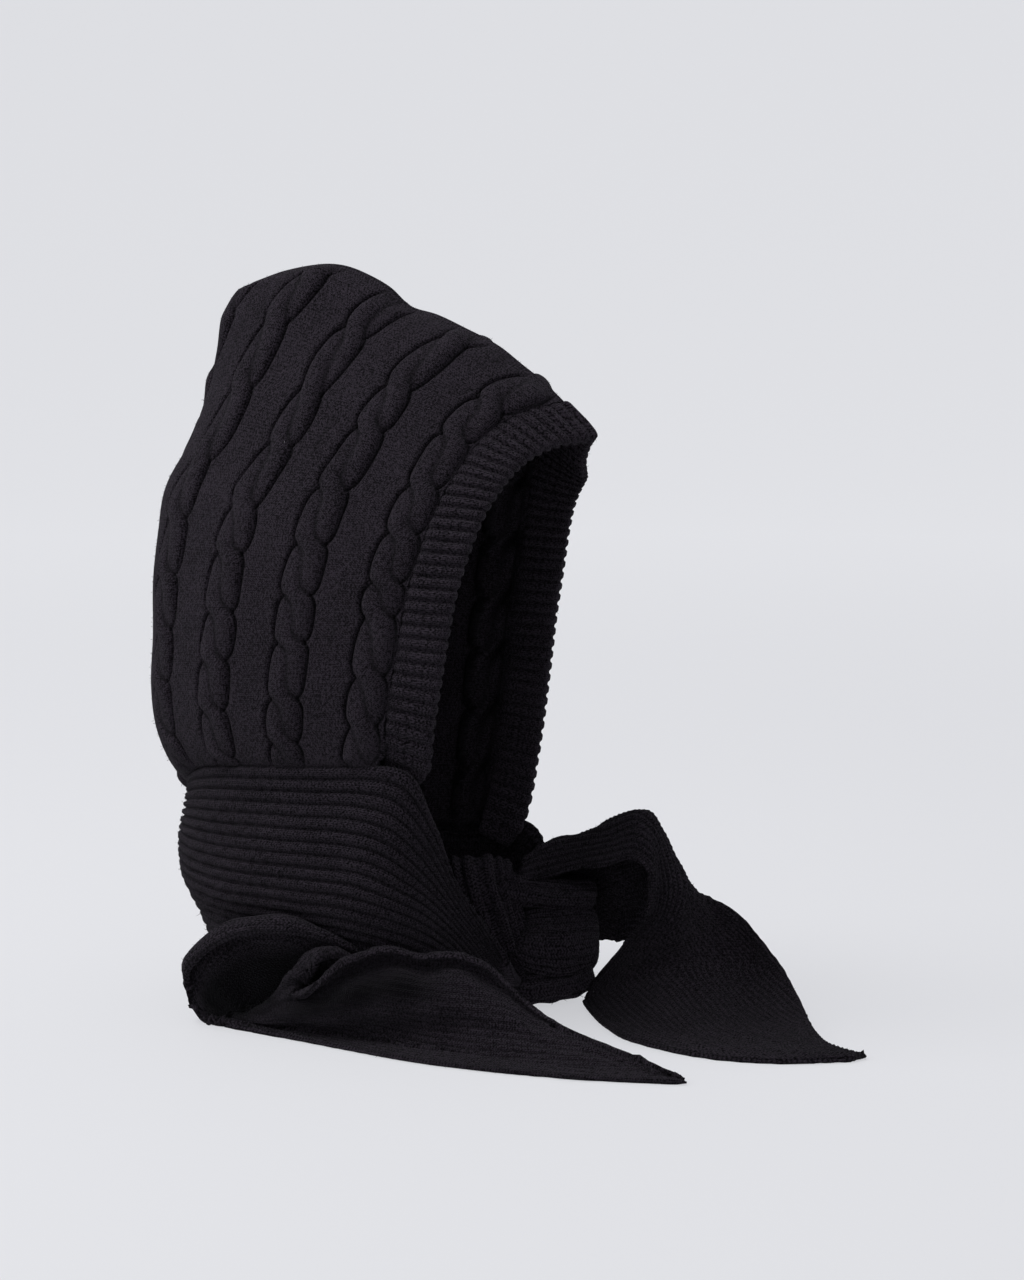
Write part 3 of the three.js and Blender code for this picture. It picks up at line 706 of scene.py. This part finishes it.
# Painted shade in the band's rib gutters, at half strength.
band_looks = {"slim": band_slim, "crushed": 0.5 * creases(band_relief, BAND_CREASE)}
band = panel("neck_band_rib", band_points, band_pattern, BAND_KNIT * MM, **band_looks)
floor_up(band)
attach(band, "root")
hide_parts("neck_band")
SCARF_YARN = yarn("brushed_scarf_rib", 2.3, 1.8, SCARF_PALE, stitch_depth=0.8)
band.data.materials.append(SCARF_YARN)


# Knot: the scarf's two ends crossed once at the throat and drawn together into a bunch.
# One turn comes over the right lappet's edge and goes down into the bunch.
KNOT_SQUARENESS = 0.7
KNOT_RIB_DEPTH = 2.1
KNOT_RIB_PITCH = 5.5
# The bunch, the folds over and under it, and the turn, in mm.
# Each row: station, middle x y z, half height, half depth.
BUNCH = np.array([
    [0, 33, -109, 43, 11.6, 10],
    [0.12, 37, -113, 41, 18.56, 18],
    [0.35, 48, -124, 39, 22.33, 22],
    [0.65, 60, -136, 39, 22.33, 22],
    [0.88, 69, -146, 39, 19.14, 18],
    [1, 73, -151, 39, 12.76, 10],
])
TOP_FOLD = np.array([
    [0.0, 26, -101, 76, 6, 6],
    [0.15, 33, -107, 72, 9, 11],
    [0.4, 47, -120, 68, 9.5, 17],
    [0.7, 60, -134, 66, 9, 19],
    [0.9, 70, -144, 65, 8.5, 17],
    [1.0, 74, -149, 64, 6, 11],
])
LOW_FOLD = np.array([
    [0.0, 31, -106, 11, 9, 8],
    [0.2, 40, -117, 11.5, 11, 15],
    [0.6, 57, -133, 13, 11, 18],
    [0.85, 66, -142, 16, 10, 15],
    [1.0, 71, -148, 19, 7, 10],
])
WRAP = np.array([
    [0, 46, -84, 48, 17, 7],
    [0.25, 41, -86, 74, 20, 8],
    [0.42, 32, -89, 82, 21, 8],
    [0.58, 25, -97, 68, 20, 8],
    [0.8, 28, -108, 38, 18, 8],
    [1, 38, -115, 12, 14, 7],
])
WRAP_AXIS = (0.42, -0.91, 0)


def bundle(rows, steps, sides, wide, ribs, seed):
    """Rings of points round a bunch of ribs that follow its path, and where its pattern lies."""
    at = np.linspace(0, 1, steps + 1)
    row = along(rows, at)
    middle, high, deep = row[:, :3], row[:, 3], row[:, 4]
    ahead = unit(np.gradient(middle, axis=0))
    side = unit(np.cross(np.array(wide, float), ahead))
    up = np.cross(ahead, side)
    a = np.linspace(0, 2 * np.pi, sides + 1)[None]
    squared = [np.sign(f(a)) * np.abs(f(a)) ** KNOT_SQUARENESS for f in (np.sin, np.cos)]
    shrink = (1 - 0.9 * hump(at, 0, 0.03) - 0.9 * hump(at, 1, 0.03))[:, None]
    place = a / (2 * np.pi) * ribs
    waver = 0.04 * wander(5 * at[:, None], a, seed)
    ribbing = KNOT_RIB_DEPTH * (rib_shape(place + waver) - 0.8)
    ribbing = ribbing + 0.8 * wander(3 * at[:, None], np.sin(a), seed + 1)
    high = (high[:, None] + ribbing) * shrink * squared[0]
    deep = (deep[:, None] + ribbing) * shrink * squared[1]
    points = middle[:, None] + up[:, None] * high[..., None] + side[:, None] * deep[..., None]
    points[:, -1] = points[:, 0]
    points[..., 2] = np.maximum(points[..., 2], 0.2)
    runs = np.cumsum(np.pad(np.linalg.norm(np.diff(middle, axis=0), axis=1), (1, 0)))
    return points, np.stack(np.broadcast_arrays(place * KNOT_RIB_PITCH, runs[:, None]), axis=-1)


knot_pieces = []
for name, rows, steps, sides, wide, ribs, seed in (
    ("knot_bunch", BUNCH, 60, 240, (0, 0, 1), 24, 21),
    ("knot_top_fold", TOP_FOLD, 60, 120, (0, 0, 1), 12, 23),
    ("knot_low_fold", LOW_FOLD, 60, 120, (0, 0, 1), 12, 27),
    ("knot_turn", WRAP, 90, 132, WRAP_AXIS, 16, 25),
):
    points, pattern = bundle(rows, steps, sides, wide, ribs, seed)
    knot_piece = rolled(name, points, pattern)
    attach(knot_piece, "root")
    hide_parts("tie_knot")
    knot_piece.data.materials.append(SCARF_YARN)
    knot_pieces.append(knot_piece)


# Tie ends: the scarf's two free ends, each narrowing to a point, in one layer of finer rib.
# The right one loops open on the floor and runs forward.
# The left one arches up and falls as a wide leaf.
TIE_KNIT = 3.2
TIE_COLUMNS = 132
TIE_ROWS = 180
TIE_RIB = 4.4
TIE_KNOB = 3.4
TIE_EDGE = 2.6
TIE_EDGE_LEAST = 0.25
TIE_SWELL = 1.1
CURL_TURN = 3.5
CURL_STEPS = 10
# Along each end, in mm: station, one selvage, middle and other selvage, each x y z, and valley.
RIGHT_END = np.array([
    [0, -71.95, -74, 44, -65.95, -76, 24, -63.95, -84, 8, 0],
    [0.07, -80.95, -45, 61, -71.95, -50, 24, -81.95, -64, 48, 0],
    [0.14, -85.95, -18, 66, -72.95, -26, 14, -86.95, -46, 52, 0],
    [0.21, -85.95, 12, 58, -74.95, -6, 10, -89.95, -35, 45, 0],
    [0.28, -83, 38, 36, -79, 8, 8, -94, -29, 37, 0],
    [0.35, -82, 43, 16, -81, 14, 6, -95, -28, 30, 0],
    [0.42, -84, 30, 0, -85, 6, 6, -96, -33, 27, 0],
    [0.49, -94, -19, 0, -89, -26, 8, -93, -50, 32, 0],
    [0.56, -102, -60, 0, -90, -60, 10, -86, -68, 41, 0],
    [0.63, -109, -97, 0, -89, -92, 12, -78, -84, 45, 0],
    [0.7, -112, -125, 0, -88, -117, 12, -72, -106, 42, 0],
    [0.76, -112, -148, 0, -86, -137, 12, -67, -126, 45, 0],
    [0.82, -111, -172, 0, -85, -160, 9, -63, -148, 33, 0],
    [0.88, -108, -198, 0, -84, -186, 6, -62, -172, 19, 0],
    [0.93, -103, -226, 0, -84, -215, 4, -66, -204, 12, 0],
    [0.97, -96, -252, 0, -85, -246, 2, -75, -240, 7, 0],
    [1, -89, -274, 0, -87, -272, 0, -85, -271, 2, 0],
])
LEFT_END = np.array([
    [0, 33, -114, 75, 42, -114, 86, 49, -117, 79, 0],
    [0.045, 43, -128, 79, 58, -128, 97, 74, -126, 75, 0],
    [0.08, 46, -147, 85, 68, -142, 99, 90, -128, 38, 0],
    [0.16, 43, -169, 90, 65, -163, 110, 97, -148, 31, 0],
    [0.23, 42, -187, 96, 64, -181, 117, 99, -168, 34, 0],
    [0.3, 42, -197, 88, 64, -192, 113, 97, -185, 42, 0],
    [0.37, 45, -197, 71, 66, -200, 97, 93, -199, 54, 0],
    [0.44, 48, -189, 54, 66, -206, 76, 87, -212, 66, 2],
    [0.51, 53, -172, 32, 64, -208, 52, 86, -240, 52, 6],
    [0.58, 58, -150, 3, 60, -212, 28, 83, -262, 30, 8],
    [0.65, 30, -166, 0, 44, -226, 12, 72, -278, 16, 5],
    [0.72, 4, -187, 0, 26, -242, 5, 54, -291, 8, 2],
    [0.79, -18, -212, 0, 8, -262, 2, 38, -300, 5, 0],
    [0.86, -33, -258, 0, -8, -290, 2, 22, -314, 2, 0],
    [0.93, -27, -303, 0, -9, -318, 2, 10, -330, 2, 0],
    [1, -4, -342, 0, 0, -344, 1, 3, -346, 2, 0],
])
# Each selvage's roll: station, radius, and the face that it turns to (1 outer, -1 inner).
NO_ROLL = np.array([[0, 0.4, 0], [1, 0.4, 0]])
LOOP_LIP = np.array([
    [0, 1, 0.5],
    [0.1, 5, 1],
    [0.27, 5.5, 1],
    [0.34, 2.5, 0.5],
    [0.4, 0.4, 0],
    [1, 0.4, 0],
])
LEAF_CREST = np.array([
    [0, 1, -0.5],
    [0.1, 3.5, -1],
    [0.2, 5.5, -1],
    [0.33, 5.5, -1],
    [0.42, 3.5, 0.2],
    [0.5, 5, 1],
    [0.74, 5, 1],
    [0.86, 2.5, 1],
    [1, 0.4, 0],
])
# How far the right end's leaf hollows behind its crest, by station.
RIGHT_HOLLOW = np.array([[0, 0], [0.42, 0], [0.52, -9.5], [0.7, -9.5], [0.88, -2], [1, 0]])
RIGHT_ROLLS = (LOOP_LIP, LEAF_CREST)
LEFT_ROLLS = (NO_ROLL, NO_ROLL)
RIGHT_RESTS = ["floor"]
LEFT_RESTS = ["floor", "tie_knot"]


def tie_at(rows, us, vs):
    """The middle of a tie end's knit in mm, for u from selvage to selvage and v along it."""
    row = along(rows, vs)
    ahead = np.gradient(row[:, 3:6], axis=0)
    across = row[:, 6:9] - row[:, :3]
    valley = unit(np.cross(ahead, across)) * row[:, 9:]
    section = through((0, 0.45, 1), row[:, :9].reshape(-1, 3, 3).transpose(1, 0, 2), us)
    points = section.transpose(1, 0, 2) + valley[:, None] * np.sin(2 * np.pi * us)[None, :, None]
    points[..., 2] = np.maximum(points[..., 2], TIE_KNIT / 2)
    return points


def curled(points, vs, rolls, last):
    """The selvage's own roll: rows of points that carry a sheet on from its edge."""
    radius, way = along(rolls, vs).T
    edge, inner = (points[:, -1], points[:, -4]) if last else (points[:, 0], points[:, 3])
    ahead = unit(edge - inner)
    normal = outward(points)[:, -2 if last else 1]
    turns = np.linspace(0, CURL_TURN, CURL_STEPS + 1)[1:, None, None]
    onward, sideways = ahead * radius[:, None], normal * way[:, None] * radius[:, None]
    points = edge + np.sin(turns) * onward + (1 - np.cos(turns)) * sideways
    return points.transpose(1, 0, 2)


ties = []
for name, node, rows, seed, rests_on, flat, rolls, rib_lift in (
    ("right_tie_end", "tie_end_right", RIGHT_END, 31, RIGHT_RESTS, (0.15, 0.42), RIGHT_ROLLS, 0.24),
    ("left_tie_end", "tie_end_left", LEFT_END, 37, LEFT_RESTS, (0.15, 0.44), LEFT_ROLLS, 0.44),
):
    tie_us, tie_vs = np.linspace(0, 1, TIE_COLUMNS + 1), np.linspace(0, 1, TIE_ROWS + 1)
    points = tie_at(rows, tie_us, tie_vs)
    if rows is RIGHT_END:
        hollow = along(RIGHT_HOLLOW, tie_vs)[:, 0]
        points += outward(points) * (hollow[:, None] * np.sin(2 * np.pi * tie_us))[..., None]
    first, last = (curled(points, tie_vs, roll, k) for k, roll in enumerate(rolls))
    points = np.concatenate([first[:, ::-1], points, last], axis=1)
    points[..., 2] = np.maximum(points[..., 2], TIE_KNIT / 2)
    tie_u, tie_v = np.meshgrid(np.linspace(0, 1, points.shape[1]), tie_vs)
    step_across = np.pad(np.linalg.norm(np.diff(points, axis=1), axis=2), ((0, 0), (1, 0)))
    step_along = np.pad(np.linalg.norm(np.diff(points, axis=0), axis=2), ((1, 0), (0, 0)))
    place = np.cumsum(step_across, axis=1)
    run = np.broadcast_to(np.cumsum(step_along.mean(axis=1))[:, None], place.shape)
    from_selvage = np.minimum(place, place[:, -1:] - place)
    from_edge = np.minimum(from_selvage, np.minimum(run, run[-1:] - run))
    slim = thinned(from_edge, TIE_EDGE, TIE_EDGE_LEAST)
    # The floor holds the knit flat, so its slow swells are free only above it.
    free = smooth((points[..., 2] - TIE_KNIT / 2) / 6)
    waver = 0.8 * wander(3 * tie_u, 5 * tie_v, seed + 2)
    relief = rib_lift * np.cos(2 * np.pi * place / TIE_RIB + waver)
    beside = np.pi * np.floor(place / TIE_RIB + 0.5)
    relief = relief * (1 + 0.6 * np.cos(2 * np.pi * run / TIE_KNOB + beside))
    swell = TIE_SWELL * wander(4 * tie_u, 9 * tie_v, seed) * free
    points = points + outward(points) * ((TIE_KNIT / 2 + relief) * slim + swell)[..., None]
    pattern = np.stack([place, run], axis=-1)
    # Painted shade in the ribs' low parts, up to three quarters of the way to black.
    crushed = np.clip(-1.6 * relief, 0, 0.75) * slim
    if rows is RIGHT_END:
        # Painted shadow: the inside of the right end's loop and the hollow under its crest are
        # darkened in the colour, placed by station and across the end, not worked out from the
        # relief.
        inside = smooth((tie_v - 0.02) / 0.06) * smooth((0.45 - tie_v) / 0.08)
        inside = inside * smooth((tie_u - 0.11) / 0.1) * smooth((0.87 - tie_u) / 0.1)
        crest_shadow = smooth((tie_v - 0.43) / 0.06) * smooth((0.82 - tie_v) / 0.16)
        crest_shadow = 0.95 * crest_shadow * hump(tie_u, 0.77, 0.15)
        crushed = np.maximum(crushed, np.maximum(inside, crest_shadow))
    tie = panel(name, points, pattern, TIE_KNIT * MM, slim=slim, crushed=crushed)
    floor_up(tie)
    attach(tie, "root")
    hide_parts(node)
    tie.data.materials.append(SCARF_YARN)
    ties.append(tie)


# Nap: loose fibres that stand out of the brushed yarn all over, and a few pale specks of lint.
# Each is a fine tapered strand with its root in the knit.
# The faces of a short fibre, and of a longer one with a bend in it. One in eight is bent.
TRIANGLE = [(np.cos(turn), np.sin(turn)) for turn in (0, 2 * np.pi / 3, 4 * np.pi / 3)]
SHORT = np.array([[0, 2, 1], [0, 1, 3], [1, 2, 3], [2, 0, 3]])
CURVED = np.array(
    [[0, 2, 1]]
    + [[k, (k + 1) % 3, 3 + (k + 1) % 3] for k in range(3)]
    + [[k, 3 + (k + 1) % 3, 3 + k] for k in range(3)]
    + [[3 + k, 3 + (k + 1) % 3, 6] for k in range(3)]
)
BENT_EVERY = 8
ROOT_DEEP = 0.4 * MM


def nap_of(piece, count, longest, thick, seed, faces_share=1.0):
    """Points of short fibres and of long bent ones that stand out of the first faces of a piece."""
    rng = np.random.default_rng(seed)
    mesh = piece.data
    mesh.calc_loop_triangles()
    corners = np.empty(len(mesh.loop_triangles) * 3, int)
    mesh.loop_triangles.foreach_get("vertices", corners)
    corners = corners.reshape(-1, 3)
    corners = corners[: int(len(corners) * faces_share)]
    places = np.empty(len(mesh.vertices) * 3)
    mesh.vertices.foreach_get("co", places)
    a, b, c = places.reshape(-1, 3)[corners].transpose(1, 0, 2)
    normal = np.cross(b - a, c - a)
    area = np.cumsum(np.linalg.norm(normal, axis=1))
    picked = np.minimum(np.searchsorted(area, rng.uniform(0, area[-1], count)), len(area) - 1)
    w = rng.dirichlet((1, 1, 1), count)
    root = a[picked] * w[:, :1] + b[picked] * w[:, 1:2] + c[picked] * w[:, 2:]
    normal = unit(normal[picked])
    drift = unit(np.cross(normal, unit(rng.normal(size=(count, 3)))))
    side = np.cross(drift, normal)
    long = longest * rng.uniform(0.3, 1, (count, 1))
    middle = root + long * (0.45 * normal + 0.3 * drift)
    tip = middle + long * (0.3 * normal + 0.45 * unit(drift + 0.7 * rng.normal(size=(count, 3))))
    root = root - ROOT_DEEP * normal
    bent = np.arange(count) % BENT_EVERY == 0
    tip[~bent] = (root + 0.62 * (tip - root))[~bent]
    around = [thick / 2 * (x * side + y * drift) for x, y in TRIANGLE]
    rings = [centre + offset for centre in (root, middle) for offset in around]
    short = np.stack(rings[:3] + [tip], axis=1)[~bent]
    curved = np.stack(rings + [tip], axis=1)[bent]
    for points in (short, curved):
        points[..., 2] = np.maximum(points[..., 2], 0.05 * MM)
    return short, curved


def strands(name, pieces, material):
    """One mesh of the fibres of several pieces, each row the arguments of nap_of for one."""
    points, faces, first = [], [], 0
    for row in pieces:
        for these, shape in zip(nap_of(*row), (SHORT, CURVED)):
            each = np.arange(len(these))[:, None, None] * these.shape[1]
            faces.append((shape[None] + each + first).reshape(-1, 3))
            points.append(these.reshape(-1, 3))
            first += len(these) * these.shape[1]
    mesh = bpy.data.meshes.new(name)
    mesh.from_pydata(np.concatenate(points).tolist(), [], np.concatenate(faces).tolist())
    piece = bpy.data.objects.new(name, mesh)
    bpy.context.collection.objects.link(piece)
    mesh.shade_smooth()
    mesh.materials.append(material)
    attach(piece, "root")


FIBRE_BLACK = (0.018, 0.015, 0.02, 1)
LINT_GREY = (0.25, 0.24, 0.25, 1)
fibre, _, _ = finish_named(
    "loose_fibre", {"Base Color": FIBRE_BLACK, "Roughness": 0.9, "Specular IOR Level": 0.1}
)
lint, _, _ = finish_named("pale_lint", {"Base Color": LINT_GREY, "Roughness": 0.9})
strands(
    "hood_nap",
    [(hood, 14000, 2.6 * MM, 0.24 * MM, 41, 0.5), (trim, 2500, 2.4 * MM, 0.22 * MM, 42)],
    fibre,
)
scarf_rows = [(band, 7000, 3.4 * MM, 0.24 * MM, 43, 0.5)]
scarf_rows += [(tie, 4500, 3.4 * MM, 0.24 * MM, 44 + k) for k, tie in enumerate(ties)]
scarf_rows += [(piece, 900, 2.8 * MM, 0.22 * MM, 48 + k) for k, piece in enumerate(knot_pieces)]
strands("scarf_nap", scarf_rows, fibre)
lint_rows = [(piece, 14, 2.2 * MM, 0.2 * MM, 60 + k) for k, piece in enumerate((hood, band, *ties))]
strands("lint", lint_rows, lint)
